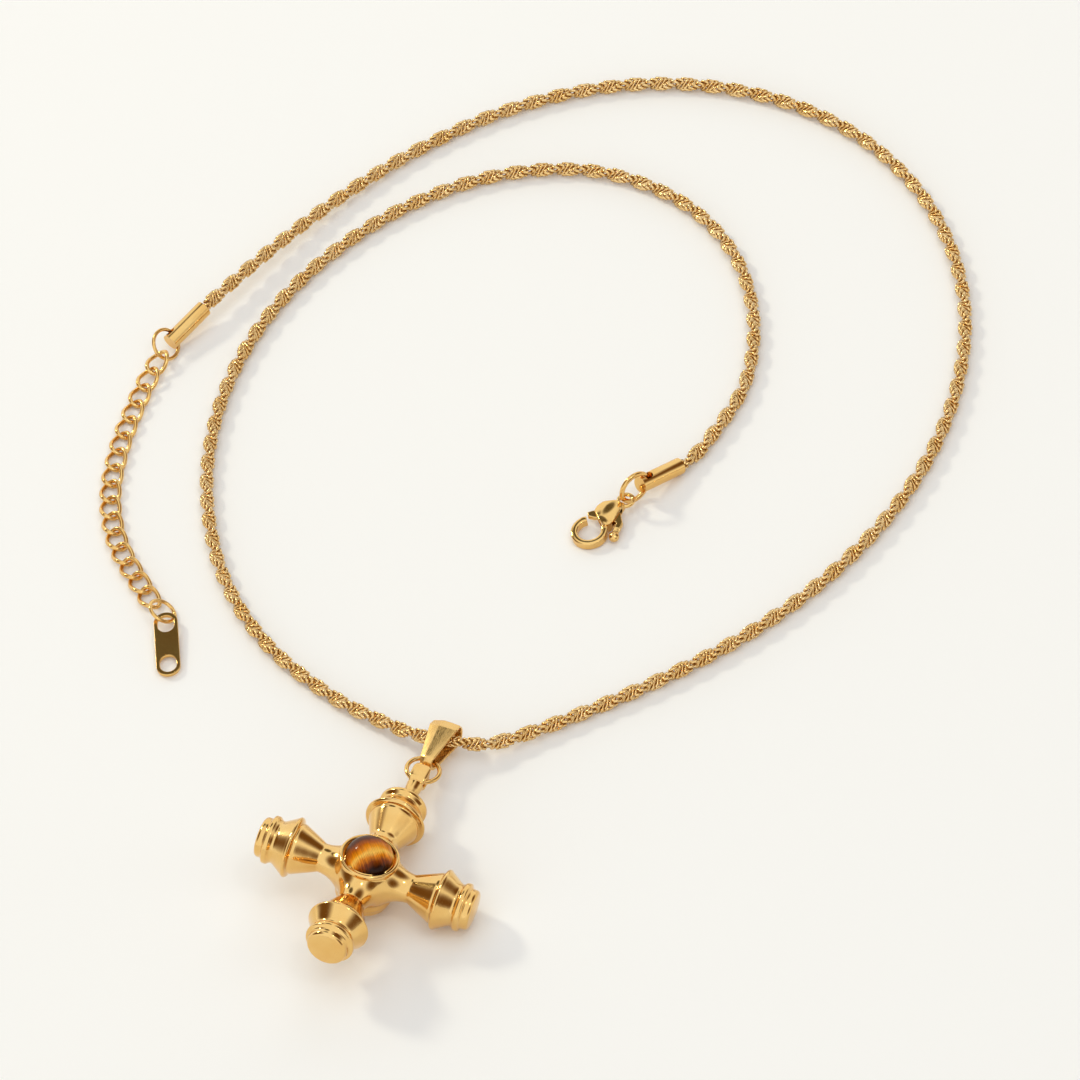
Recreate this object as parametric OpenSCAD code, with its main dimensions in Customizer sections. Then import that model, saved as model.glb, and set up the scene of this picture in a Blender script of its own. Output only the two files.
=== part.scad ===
// Cross necklace: a turned cross with a cabochon, on a rope chain that lies open on a table.
// Millimetres, +Z up. The necklace rests on Z = 0, and the origin is the middle of its footprint.

/* [Cross] */
// Reach of a side or bottom arm, from the middle to its tip
arm_reach = 13.3; // [12.8:0.1:14]
// Radius of an arm's neck, beside the hub
neck_r = 1.7; // [1.4:0.05:1.9]
// Radius of an arm's flange
flange_r = 3.6; // [3.4:0.05:3.8]
// Distance from the middle to the flange
flange_at = 9.1; // [8.9:0.1:9.4]
// Radius of the bead behind the tip
bead_r = 2.8; // [2.5:0.05:3]
// Radius of the hub and of the setting on it
hub_r = 3.36; // [3.2:0.02:3.5]
// Height of the setting's rim above the middle
rim_top = 2.95; // [2.6:0.05:3.2]
// Depth of the domed back below the middle
back_depth = 4.8; // [4:0.1:5]
// Thickness of the setting's rim
rim_wall = 0.36; // [0.3:0.02:0.5]
// Radius of the stem that carries the eye
stem_r = 0.95; // [0.85:0.05:1.05]
// Distance from the middle to the centre of the eye's head
eye_at = 17.9; // [17.5:0.1:18.5]

/* [Stone] */
// Height of the stone's dome above its girdle
dome_h = 2.8; // [2.2:0.05:3]
// Clearance between the stone and the setting
stone_gap = 0.12; // [0.08:0.01:0.15]

/* [Bail and rings] */
// Length of the bail, between the centres of its two rounded ends
bail_len = 4.6; // [4:0.1:5]
// Width of the bail at the chain
bail_top_w = 3.3; // [2.8:0.1:3.4]
// Width of the bail at the ring
bail_bottom_w = 1.65; // [1.5:0.05:2]
// Thickness of the bail's strap
bail_wall = 0.38; // [0.34:0.02:0.44]
// Outer diameter of the ring between the cross and the bail
pendant_ring_d = 4.4; // [4.1:0.1:4.6]
// Wire of that ring
pendant_ring_wire = 0.54; // [0.5:0.02:0.6]

/* [Chain] */
// Radius of the rope chain
rope_r = 0.95; // [0.85:0.05:1]
// Outer diameter of the end tubes
tube_d = 2.1; // [2.1:0.1:2.4]
// Length of the end tubes
tube_len = 6.4; // [6:0.1:7]
// Bore of the end tubes
tube_bore = 1.7; // [1.6:0.05:1.75]
// Cross hole near the end of a tube
tube_eye = 1.05; // [0.9:0.05:1.1]

/* [Extender] */
// Distance from one link to the next
link_pitch = 2.8; // [2.75:0.01:2.85]
// Outer width of a link
link_w = 2.8; // [2.7:0.05:3]
// Wire of a link
link_wire = 0.54; // [0.5:0.01:0.56]
// Number of links
link_count = 16; // [14:1:18]
// Outer diameter of the two rings of the extender
extender_ring_d = 4.2; // [4:0.1:4.4]
// Wire of these rings
extender_ring_wire = 0.46; // [0.42:0.01:0.5]
// Length of the tag
tag_len = 9.6; // [9:0.1:10.5]
// Width of the tag
tag_w = 2.9; // [2.8:0.1:3.4]
// Thickness of the tag
tag_t = 0.45; // [0.4:0.05:0.6]

/* [Clasp] */
// Thickness of the clasp's body
clasp_t = 1.6; // [1.4:0.1:1.8]
// Radius of the opening inside the hook
hook_r = 1.45; // [1.3:0.05:1.5]
// Width of the hook's band
hook_band = 0.8; // [0.7:0.05:0.9]
// Thickness of the lever
lever_t = 0.6; // [0.5:0.05:0.65]
// Outer diameter of the ring between the clasp and its tube
clasp_ring_d = 4.5; // [4.3:0.1:4.6]
// Wire of that ring
clasp_ring_wire = 0.62; // [0.56:0.02:0.66]

/* [Hidden] */
$fn = 64;
slack = 0.01;

// Where the cross lies: its middle, and its turn, which leaves the left and bottom arms raised
cross_at = [-25.4, -52.5, 5.34];
cross_turn = [-7.9, 11.4, -27.2];
// The whole necklace is moved by this to bring the middle of its footprint to the origin
lay = [-2.35, -6.08, 0];

// The arms flow into a ball at the middle along arcs of this radius
web_r = 3.8;
flare_from = neck_r + web_r;
ball_r = flare_from * sqrt(2) - web_r + 0.04;

// Turned arm: distances from the middle of the cross
flare_to = 8.4;
flare_r = 3;
waist_at = 10.8;
waist_r = 2.62;
bead_from = 11.5;
bead_to = 12.1;
cap_r = 2.42;
cap_from = bead_to + 0.2;
cap_edge = 0.45;
arm_profile = [
    [neck_r, flare_from], [neck_r + 0.35, flare_from + 0.75], [flare_r, flare_to],
    [flare_r + 0.02, flange_at - 0.35], [flange_r - 0.2, flange_at - 0.3], [flange_r, flange_at],
    [flange_r - 0.2, flange_at + 0.35], [waist_r, waist_at], [waist_r, waist_at + 0.3],
    [bead_r, bead_from], [bead_r, bead_to]];
// The tip is a low cap with a rounded edge
tip = concat([[cap_r, cap_from]],
    [for (a = [0 : 15 : 90]) [cap_r - cap_edge * (1 - cos(a)), arm_reach - 0.2 - cap_edge * (1 - sin(a))]],
    [[0, arm_reach]]);

// Hub and setting: heights above the middle of the cross
barrel_bottom = -3.2;
back_flat_r = 1.2;
cup_floor = 1.2;
rim_groove = 2.3;
back_dome = [for (a = [0 : 10 : 90])
    [back_flat_r + (hub_r - 0.15 - back_flat_r) * cos(a), barrel_bottom - (back_depth + barrel_bottom) * sin(a)]];
stone_r = hub_r - rim_wall - stone_gap;
girdle_z = 2.2;

// Stem and eye, along the top arm
stem_from = 12.9;
eye_head_r = 1.05;
eye_w = 2.1;
slot_from = 15.95;
slot_to = 17.15;
slot_h = 0.8;

// Ring and bail, in the cross's own frame
ring_near = 16.4;
pendant_ring_r = (pendant_ring_d - pendant_ring_wire) / 2;
bail_foot = [0, ring_near + 2 * pendant_ring_r - 0.1, -0.03];
bail_roll = -10.8;
bail_pitch = 5.5;
bail_yaw = -4.7;
bail_head_r = 1.46;
bail_foot_r = 1.03;
bail_bevel_w = 0.6;
bail_bevel_h = 0.4;

// Rope: points along its middle line, from the extender's tube to the clasp's tube
rope_ends_r = tube_bore / 2 - 0.07;
// It is drawn thinner inside the bail, whose middle is here
rope_bail_r = 0.8;
rope_bail_at = [-14.3, -31.6, 2.45];
rope_bail_len = 6.4;
rope_route = [
    [-39.64, 43.64, 1.82], [-36.55, 46.45, 2.33], [-35.27, 47.62, 2.5], [-26.8, 55.8, 2], [-17.3, 63.9, 1.3],
    [-7, 70.4, 0.95], [4.1, 74.7, 0.95], [16.1, 76.2, 0.95], [27.8, 74.3, 0.95], [38.5, 68.9, 0.95],
    [47.1, 60.6, 0.95], [52.9, 50.1, 0.95], [55.8, 38.4, 0.95], [55.9, 26.5, 0.95], [53.3, 14.8, 0.95],
    [48.4, 3.8, 0.95], [41.5, -5.9, 0.95], [32.9, -14.2, 0.95], [23, -20.9, 0.95], [12.05, -25.95, 0.95],
    [0.7, -29.8, 0.95], [-7.6, -32.2, 1.4], [-11.3, -32.85, 2.3], [-14.3, -31.6, 2.45], [-17.3, -30.35, 2.4],
    [-20.5, -27.35, 1.6], [-26.95, -20.8, 0.95], [-33.8, -11.1, 0.95], [-37.95, 0.1, 0.95], [-39.2, 12.1, 0.95],
    [-38, 24, 0.95], [-34.3, 35.4, 0.95], [-28.2, 45.6, 0.95], [-19.8, 54.1, 0.95], [-9.5, 60.3, 0.95],
    [2.1, 63.1, 0.95], [13.8, 61.2, 0.95], [23.4, 54, 0.95], [29, 43.6, 0.95], [30.3, 31.6, 0.95],
    [27.8, 20, 0.95], [22.3, 11.55, 0.95], [19.6, 8.6, 0.97], [18.2, 7.58, 1.07], [14.99, 5.38, 2]];
rope_steps = 2;
rope_sides = 8;

// End tubes: the middle of each one's ring end, and its turn, which tips one end off the floor
extender_tube_at = [-41.55, 41.91, 1.51];
extender_tube_turn = [0, -6.9, 42.25];
extender_tube_eye = [0.72, 1.02];
extender_tube_lean = -39;
clasp_tube_at = [12.9, 3.95, 2.6];
clasp_tube_turn = [0, 13.4, 34.4];
clasp_tube_eye = [0.84, 1.28];
tube_bore_from = 2.5;

// Extender: points along its middle line, from the tube's ring to the tag's
extender_route = [
    [-43.4, 39.15, 1.15], [-44.8, 36.8, 0.86], [-46.5, 33.2, 0.65], [-48.8, 27.2, 0.63], [-50.5, 20.6, 0.63],
    [-51, 14.8, 0.63], [-50.2, 8.4, 0.63], [-47.4, 0, 0.64]];
link_play = 0.1;
link_half_len = (link_pitch + link_wire + link_play) / 2;
link_half_w = (link_w - link_wire) / 2;
link_twist = 0.34;
link_rings = 16;
link_sides = 6;
extender_ring_at = [-42.07, 41.43, 1.79];
extender_ring_turn = [52.7, 0, 53.2];
extender_ring_r = (extender_ring_d - extender_ring_wire) / 2;
tag_ring_r = 1.65;
tag_ring_at = [-45.9, -3, 1.22];
tag_ring_lean = 36;
tag_at = [-45.62, -3.27, 0.82];
tag_turn = -92;
tag_pitch = 3.6;
tag_hole_w = 2;
tag_hole_len = 2.5;
tag_hole_at = 1.75;

// Clasp: its own frame runs from the eye towards the hook, with the thumb tab on the +Y side
clasp_at = [10.69, 3.69, 0.57];
clasp_turn = [0, 5.4, -127.4];
clasp_eye_at = [0.33, 0.62];
clasp_eye_r = 0.9;
clasp_eye_wire = 0.52;
hook_at = [6.35, -1];
hook_t = 1.1;
hook_root_angle = 138;
hook_tip_angle = 219;
pivot_at = [3, -0.4];
rivet_r = 0.3;
lever_play = 0.06;
clasp_ring_at = [12.22, 3.8, 2.47];
clasp_ring_turn = 31;
clasp_ring_r = (clasp_ring_d - clasp_ring_wire) / 2;

// A point on a smooth curve between b and c
function between(a, b, c, d, t) =
    0.5 * (2 * b + (c - a) * t + (2 * a - 5 * b + 4 * c - d) * t * t + (3 * b - a - 3 * c + d) * t * t * t);
function nth(points, i) = points[min(max(i, 0), len(points) - 1)];
// A smooth curve through points, with a number of steps from each point to the next
function curve(points, steps) = concat(
    [for (i = [0 : len(points) - 2]) for (k = [0 : steps - 1])
        between(nth(points, i - 1), points[i], points[i + 1], nth(points, i + 2), k / steps)],
    [points[len(points) - 1]]);
function unit(v) = v / norm(v);
// A ring of points round p, square to the direction t
function hoop(p, t, r, sides) =
    let (side = unit(cross(t, [0, 0, 1])), up = cross(side, t))
    [for (k = [0 : sides - 1]) let (a = 360 * (k + 0.5) / sides) p + r * (cos(a) * side + sin(a) * up)];
// The four-sided faces between one hoop and the next
function skin(i, j, sides) =
    [for (k = [0 : sides - 1]) let (n = (k + 1) % sides) [i * sides + n, j * sides + n, j * sides + k, i * sides + k]];
// The distance covered up to each point of a path
function run(path, i = 0, so_far = 0) =
    i == len(path) - 1 ? [so_far] : concat([so_far], run(path, i + 1, so_far + norm(path[i + 1] - path[i])));

// A tube along an open path, with a radius for each of its points
module open_tube(path, radii, sides) {
    last = len(path) - 1;
    points = [for (i = [0 : last])
        each hoop(path[i], unit(nth(path, i + 1) - nth(path, i - 1)), radii[i], sides)];
    faces = concat(
        [[for (k = [sides - 1 : -1 : 0]) k]],
        [for (i = [0 : last - 1]) each skin(i, i + 1, sides)],
        [[for (k = [0 : sides - 1]) last * sides + k]]);
    polyhedron(points, faces, convexity = 8);
}

// A ring of round wire that lies in the plane XY
module wire_ring(r, wire) {
    rotate_extrude() translate([r, 0]) circle(d = wire);
}

// An outline of two arcs, centred on the X axis, and the straight lines that touch both
module teardrop(x1, r1, x2, r2, facets = 24) {
    lean = asin((r2 - r1) / (x2 - x1));
    half = 90 + lean;
    polygon(concat(
        [for (k = [0 : facets]) let (a = -half + 2 * half * k / facets) [x2 + r2 * cos(a), r2 * sin(a)]],
        [for (k = [0 : 12]) let (a = half + 2 * (180 - half) * k / 12) [x1 + r1 * cos(a), r1 * sin(a)]]));
}

module on_cross() {
    translate(cross_at) rotate(cross_turn) children();
}

// A turned arm along +Z: a swollen root, the neck and the knob, closed by the outline of its end
module arm(end) {
    rotate_extrude() {
        difference() {
            translate([0, 1]) square([flare_from - web_r * cos(45), flare_from - 1]);
            translate([flare_from, flare_from]) circle(web_r);
        }
        polygon(concat([[0, flare_from - 1], [neck_r, flare_from - slack]], arm_profile, end));
    }
}

module hub() {
    rotate_extrude() polygon(concat(
        [[0, -back_depth]],
        [for (i = [len(back_dome) - 1 : -1 : 0]) back_dome[i]],
        [[hub_r, barrel_bottom + 0.2], [hub_r, rim_groove - 0.1], [hub_r - 0.1, rim_groove],
         [hub_r, rim_groove + 0.1], [hub_r, rim_top - 0.12], [hub_r - 0.12, rim_top],
         [hub_r - rim_wall + 0.08, rim_top], [hub_r - rim_wall, rim_top - 0.08],
         [hub_r - rim_wall, cup_floor], [0, cup_floor]]));
}

// The stem on the top arm widens into a flat-sided head, with a slot across for the ring
module eye() {
    difference() {
        union() {
            translate([0, stem_from - 1, 0]) rotate([-90, 0, 0]) cylinder(h = slot_from - stem_from + 1.6, r = stem_r);
            intersection() {
                rotate([90, 0, 90]) linear_extrude(eye_w, center = true)
                    teardrop(slot_from - 0.3, stem_r, eye_at, eye_head_r);
                linear_extrude(2 * eye_head_r + 1, center = true)
                    polygon([[-stem_r, slot_from - 2], [-eye_w / 2, eye_at - 0.6], [-eye_w / 2, eye_at + 0.6],
                             [-eye_w / 2 + 0.5, eye_at + 2], [eye_w / 2 - 0.5, eye_at + 2], [eye_w / 2, eye_at + 0.6],
                             [eye_w / 2, eye_at - 0.6], [stem_r, slot_from - 2]]);
            }
        }
        rotate([0, 90, 0]) linear_extrude(2 * eye_w, center = true) {
            translate([0, slot_from + slot_h / 2]) circle(d = slot_h);
            translate([0, slot_to - slot_h / 2]) circle(d = slot_h);
            translate([-slot_h / 2, slot_from + slot_h / 2]) square([slot_h, slot_to - slot_from - slot_h]);
        }
    }
}

module cross_body() {
    color("goldenrod") on_cross() {
        difference() {
            union() {
                for (a = [90, -90]) rotate([0, a, 0]) arm(tip);
                rotate([90, 0, 0]) arm(tip);
                rotate([-90, 0, 0]) arm([[cap_r, cap_from], [cap_r - 0.5, bead_to + 0.6],
                    [stem_r + 0.35, stem_from], [0, stem_from]]);
                eye();
                hub();
                sphere(ball_r);
            }
            translate([0, 0, cup_floor]) cylinder(h = 5, r = hub_r - rim_wall);
        }
    }
}

module stone() {
    color("saddlebrown") on_cross() rotate_extrude()
        polygon(concat(
            [[0, cup_floor + stone_gap], [stone_r - 0.15, cup_floor + stone_gap], [stone_r, cup_floor + stone_gap + 0.15]],
            [for (a = [0 : 10 : 90]) [stone_r * cos(a), girdle_z + dome_h * sin(a)]]));
}

module pendant_ring() {
    color("goldenrod") on_cross() translate([0, ring_near + pendant_ring_r, 0])
        wire_ring(pendant_ring_r, pendant_ring_wire);
}

// The bail: a strap bent into a loop with a creased head, wider at the chain, with bevelled front edges
module bail() {
    half = bail_top_w / 2;
    color("gold") on_cross() translate(bail_foot) rotate([0, bail_roll, 0]) rotate([bail_pitch, 0, bail_yaw]) intersection() {
        rotate([90, 0, 90]) linear_extrude(bail_top_w, center = true) difference() {
            teardrop(0, bail_foot_r, bail_len, bail_head_r, 5);
            teardrop(0, bail_foot_r - bail_wall, bail_len, bail_head_r - bail_wall);
        }
        linear_extrude(3 * bail_head_r, center = true)
            polygon([[-bail_bottom_w / 2, -1], [-half, bail_len], [-half + 0.2, bail_len + 2],
                     [half - 0.2, bail_len + 2], [half, bail_len], [bail_bottom_w / 2, -1]]);
        rotate([90, 0, 0]) linear_extrude(4 * bail_len, center = true)
            polygon([[-half, -2], [-half, bail_head_r - bail_bevel_h], [bail_bevel_w - half, bail_head_r],
                     [half - bail_bevel_w, bail_head_r], [half, bail_head_r - bail_bevel_h], [half, -2]]);
    }
}

module rope_chain() {
    path = curve(rope_route, rope_steps);
    last = len(path) - 1;
    color("darkgoldenrod") open_tube(path, [for (i = [0 : last])
        i < 2 * rope_steps || i > last - 2 * rope_steps ? rope_ends_r
        : norm(path[i] - rope_bail_at) < rope_bail_len / 2 ? rope_bail_r : rope_r], rope_sides);
}

// An end tube round the X axis from its ring end: bored for the rope, with an eye across for the ring.
// The eye runs between the two distances in eye, and is turned about the tube by lean.
module end_tube(eye, lean) {
    difference() {
        rotate([0, 90, 0]) cylinder(h = tube_len, d = tube_d);
        translate([tube_bore_from, 0, 0]) rotate([0, 90, 0]) cylinder(h = tube_len, d = tube_bore);
        rotate([lean, 0, 0]) {
            for (x = eye) translate([x, 0, 0]) cylinder(h = 2 * tube_d, d = tube_eye, center = true);
            translate([eye[0], -tube_eye / 2, -tube_d]) cube([eye[1] - eye[0], tube_eye, 2 * tube_d]);
        }
    }
}

module extender_tube() {
    color("gold") translate(extender_tube_at) rotate(extender_tube_turn) end_tube(extender_tube_eye, extender_tube_lean);
}

module clasp_tube() {
    color("gold") translate(clasp_tube_at) rotate(clasp_tube_turn) end_tube(clasp_tube_eye, 0);
}

module extender_ring() {
    color("gold") translate(extender_ring_at) rotate(extender_ring_turn) wire_ring(extender_ring_r, extender_ring_wire);
}

// One link of the extender: an oval ring of wire, twisted so that it passes through its neighbours
module link() {
    step = 360 / link_rings;
    points = [for (i = [0 : link_rings - 1])
        let (a = i * step,
             p = [link_half_len * cos(a), link_half_w * sin(a), -link_twist * sin(2 * a)],
             t = unit([-link_half_len * sin(a), link_half_w * cos(a), -2 * link_twist * cos(2 * a)]))
        each hoop(p, t, link_wire / 2, link_sides)];
    faces = [for (i = [0 : link_rings - 1]) each skin(i, (i + 1) % link_rings, link_sides)];
    polyhedron(points, faces, convexity = 4);
}

extender_path = curve(extender_route, 12);
extender_run = run(extender_path);
extender_stations = [for (i = [0 : len(extender_run) - 1]) [extender_run[i], i]];
function extender_point(s) =
    let (k = lookup(s, extender_stations), i = min(floor(k), len(extender_path) - 2))
    extender_path[i] + (k - i) * (extender_path[i + 1] - extender_path[i]);

module extender_link(i) {
    last = extender_run[len(extender_run) - 1];
    s = (i - 1) * last / (link_count - 1);
    ahead = extender_point(min(s + 0.5, last)) - extender_point(max(s - 0.5, 0));
    p = extender_point(s);
    color("gold") translate(p) rotate([0, -asin(ahead.z / norm(ahead)), atan2(ahead.y, ahead.x)]) link();
}

module tag_ring() {
    color("gold") translate(tag_ring_at) rotate([0, tag_ring_lean, 0]) wire_ring(tag_ring_r, extender_ring_wire);
}

module tag_hole(x) {
    translate([x, 0, 0]) {
        for (s = [-1, 1]) translate([s * (tag_hole_len - tag_hole_w) / 2, 0, -1]) cylinder(h = 3, d = tag_hole_w);
        translate([-(tag_hole_len - tag_hole_w) / 2, -tag_hole_w / 2, -1]) cube([tag_hole_len - tag_hole_w, tag_hole_w, 3]);
    }
}

module tag() {
    color("olive") translate(tag_at) rotate([0, 0, tag_turn]) rotate([0, tag_pitch, 0]) difference() {
        linear_extrude(tag_t) {
            for (x = [tag_w / 2, tag_len - tag_w / 2]) translate([x, 0]) circle(d = tag_w);
            translate([tag_w / 2, -tag_w / 2]) square([tag_len - tag_w, tag_w]);
        }
        tag_hole(tag_hole_at);
        tag_hole(tag_len - tag_hole_at);
    }
}

module on_clasp() {
    translate(clasp_at) rotate(clasp_turn) children();
}

// The band of the hook, from its root on the body round to its tip
module hook() {
    sweep = 360 - (hook_tip_angle - hook_root_angle);
    translate([hook_at.x, hook_at.y, (clasp_t - hook_t) / 2]) rotate(hook_tip_angle)
        rotate_extrude(angle = sweep) translate([hook_r, 0]) square([hook_band, hook_t]);
}

module clasp_body() {
    color("gold") on_clasp() difference() {
        union() {
            difference() {
                linear_extrude(clasp_t) polygon([[1.1, -0.3], [1.9, -1.6], [2.7, -1.95], [3.35, -1.95],
                    [3.75, -1.6], [4.6, -0.6], [5.2, 0.6], [4.6, 1], [2.6, 1], [1.05, 0.95]]);
                // The slot that the lever swings in
                translate([0, 0, (clasp_t - lever_t) / 2 - lever_play]) linear_extrude(lever_t + 2 * lever_play)
                    polygon([[1.75, -3], [1.75, 3], [4.25, 3], [4.25, 0.1], [5.5, -1.2], [5.5, -3]]);
            }
            hook();
            translate([clasp_eye_at.x, clasp_eye_at.y, clasp_t / 2]) wire_ring(clasp_eye_r, clasp_eye_wire);
        }
        translate([pivot_at.x, pivot_at.y, -1]) cylinder(h = 4, r = rivet_r + 0.02);
    }
}

module clasp_rivet() {
    color("gold") on_clasp() translate([pivot_at.x, pivot_at.y, 0.02]) cylinder(h = clasp_t + 0.08, r = rivet_r);
}

// The lever: a gate on one side of the rivet and a thumb tab on the other
module clasp_lever() {
    color("gold") on_clasp() difference() {
        union() {
            translate([0, 0, (clasp_t - lever_t) / 2]) linear_extrude(lever_t) {
                translate(pivot_at) circle(0.85);
                polygon([[2.5, -1.1], [3.9, -2.7], [4.45, -2.3], [4.35, -1.5], [3.8, -0.3]]);
                polygon([[2.3, 0], [3.7, 0], [4, 1.4], [5.6, 1.55], [5.6, 2.4], [3.6, 2.1], [2.4, 1.1]]);
            }
            translate([5.75, 2.05, (clasp_t - lever_t) / 2 - 0.25]) cylinder(h = lever_t + 0.5, r = 0.62);
        }
        translate([pivot_at.x, pivot_at.y, -1]) cylinder(h = 4, r = rivet_r + lever_play);
    }
}

// The ring between the clasp's eye and its tube stands on edge
module clasp_ring() {
    color("gold") translate(clasp_ring_at) rotate([90, 0, clasp_ring_turn]) wire_ring(clasp_ring_r, clasp_ring_wire);
}

translate(lay) {
    cross_body();
    stone();
    pendant_ring();
    bail();
    rope_chain();
    extender_tube();
    extender_ring();
    for (i = [1 : link_count]) extender_link(i);
    tag_ring();
    tag();
    clasp_tube();
    clasp_ring();
    clasp_body();
    clasp_rivet();
    clasp_lever();
}
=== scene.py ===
# Gold cross necklace with a tiger's eye stone, lying open on a pale table.
# Metres, Z up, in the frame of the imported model.
import math
import bmesh
import bpy
import numpy as np
from mathutils import Euler, Matrix, Vector


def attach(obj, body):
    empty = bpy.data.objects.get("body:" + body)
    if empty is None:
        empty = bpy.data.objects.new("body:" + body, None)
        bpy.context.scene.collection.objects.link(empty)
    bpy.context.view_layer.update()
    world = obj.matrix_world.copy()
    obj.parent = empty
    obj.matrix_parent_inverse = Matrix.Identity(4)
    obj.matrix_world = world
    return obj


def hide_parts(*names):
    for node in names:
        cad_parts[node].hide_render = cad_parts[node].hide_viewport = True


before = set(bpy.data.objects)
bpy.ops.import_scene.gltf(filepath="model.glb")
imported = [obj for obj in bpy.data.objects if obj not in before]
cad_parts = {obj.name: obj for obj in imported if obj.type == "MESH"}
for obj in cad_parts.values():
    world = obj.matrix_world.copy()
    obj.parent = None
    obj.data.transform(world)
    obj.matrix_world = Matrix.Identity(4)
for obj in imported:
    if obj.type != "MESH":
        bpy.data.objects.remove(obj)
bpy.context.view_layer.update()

mm = 0.001
lay = np.array([-2.35, -6.08, 0.0])  # the footprint's middle is the origin, as in the part
print("frame loaded:", len(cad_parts), "nodes")


# Helpers
# Turns about X, then Y, then Z, in degrees.
def turnMatrix(degrees):
    return np.array(Euler([math.radians(a) for a in degrees], "XYZ").to_matrix())


# Points turned about the origin.
def bent(points, turn):
    return points @ turnMatrix(turn).T


# Turned and moved points, in the part's own millimetres.
def place(points, at, turn):
    return bent(points, turn) + np.array(at)


# The same directions with a length of 1.
def unit(vectors):
    return vectors / np.linalg.norm(vectors, axis=-1, keepdims=True)


# Values raised to a power with their sign kept. Below 1 it turns a circle's cosine and sine into those of a
# rounded box.
def boxy(values, power):
    return np.sign(values) * np.abs(values) ** power


# Four-sided faces of a grid of rows x columns points, joined up along each way that is closed.
def gridFaces(rows, columns, closeRows, closeColumns):
    i, j = np.meshgrid(np.arange(rows if closeRows else rows - 1),
                       np.arange(columns if closeColumns else columns - 1), indexing="ij")
    ni, nj = (i + 1) % rows, (j + 1) % columns
    corners = [i * columns + j, ni * columns + j, ni * columns + nj, i * columns + nj]
    return np.stack(corners, -1).reshape(-1, 4)


# An object from a mesh, in one material, riding on a body and standing for its solids.
def dress(name, mesh, material, replaced, body):
    mesh.materials.clear()
    mesh.materials.append(material)
    mesh.polygons.foreach_set("use_smooth", np.ones(len(mesh.polygons), bool))
    piece = bpy.data.objects.new(name, mesh)
    bpy.context.scene.collection.objects.link(piece)
    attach(piece, body)
    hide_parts(*replaced)
    print("piece:", name, len(mesh.polygons), "faces")
    return piece


# One object from (points in part millimetres, faces) shells.
def addPiece(name, shells, material, replaced):
    points = np.concatenate([s[0] for s in shells])
    starts = np.cumsum([0] + [len(s[0]) for s in shells[:-1]])
    corners = np.concatenate([s[1] + start for s, start in zip(shells, starts)])
    faces = [tuple(dict.fromkeys(f)) for f in corners.tolist()]  # a fan's faces repeat a corner until here
    mesh = bpy.data.meshes.new(name)
    mesh.from_pydata(((points + lay) * mm).tolist(), [], faces)
    mesh.validate()
    dress(name, mesh, material, replaced, "root")


# The same shell with its faces turned so that its volume is positive.
def outward(points, faces):
    quads = np.asarray(faces)
    p = points[quads]
    volume = (np.einsum("ij,ij->i", p[:, 0], np.cross(p[:, 1], p[:, 2]))
              + np.einsum("ij,ij->i", p[:, 0], np.cross(p[:, 2], p[:, 3]))).sum()
    return points, quads if volume > 0 else quads[:, ::-1]


# How far a corner is cut along the stretches beside it: up to reach, and half as far on each further cut.
def cutBack(step, reach, k):
    size = np.linalg.norm(step, axis=1, keepdims=True)
    return np.minimum(0.3 * size, reach / 2 ** k) * step / np.maximum(size, 1e-9)


# An open line whose corners are each cut twice, which rounds them.
def softCorners(profile, reach):
    line = np.asarray(profile, float)
    for k in range(2):
        cut = cutBack(np.diff(line, axis=0), reach, k)
        inner = np.stack([line[:-1] + cut, line[1:] - cut], 1).reshape(-1, 2)
        line = np.concatenate([line[:1], inner[1:-1], line[-1:]])
    return line


# A closed line whose corners are each cut twice.
def softLoop(points, reach):
    line = np.asarray(points, float)
    for k in range(2):
        nextOne = np.roll(line, -1, axis=0)
        cut = cutBack(nextOne - line, reach, k)
        line = np.stack([line + cut, nextOne - cut], 1).reshape(-1, line.shape[1])
    return line


# Long stretches of a line are divided into equal steps, none longer than most, so that faces shade evenly.
def split(profile, most):
    line = np.asarray(profile, float)
    steps = np.maximum(1, np.ceil(np.linalg.norm(np.diff(line, axis=0), axis=1) / most)).astype(int)
    where = np.concatenate([np.arange(n) / n + k for k, n in enumerate(steps)] + [[len(line) - 1]])
    return np.stack([np.interp(where, np.arange(len(line)), line[:, k]) for k in range(2)], 1)


# A line of (radius, height) turned about Z: x = r cos a, y = r sin a. Both ends lie on the axis, as one
# point each.
def lathe(profile, sides):
    line = np.asarray(profile, float)
    a = np.linspace(0, 2 * math.pi, sides, endpoint=False)
    r, h = line[1:-1, 0][:, None], line[1:-1, 1][:, None]
    rings = np.stack([r * np.cos(a), r * np.sin(a), h + 0 * a], -1).reshape(-1, 3)
    poles = [[0, 0, line[0, 1]], [0, 0, line[-1, 1]]]
    k = np.arange(sides)
    nextOne = (k + 1) % sides
    last = len(rings)
    fans = [np.stack([k, nextOne, k * 0 + last, k * 0 + last], 1),
            np.stack([nextOne + last - sides, k + last - sides, k * 0 + last + 1, k * 0 + last + 1], 1)]
    return np.concatenate([rings, poles]), np.concatenate([gridFaces(len(r), sides, False, True)] + fans)


# Round wire along a closed line: centre + radius (radial cos b + axial sin b), for b round the wire.
def wireLoop(centres, radial, axial, radius, sides):
    b = np.linspace(0, 2 * math.pi, sides, endpoint=False)[:, None]
    points = centres[:, None] + radius * (radial[:, None] * np.cos(b) + axial[:, None] * np.sin(b))
    return points.reshape(-1, 3), gridFaces(len(centres), sides, True, True)


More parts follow.
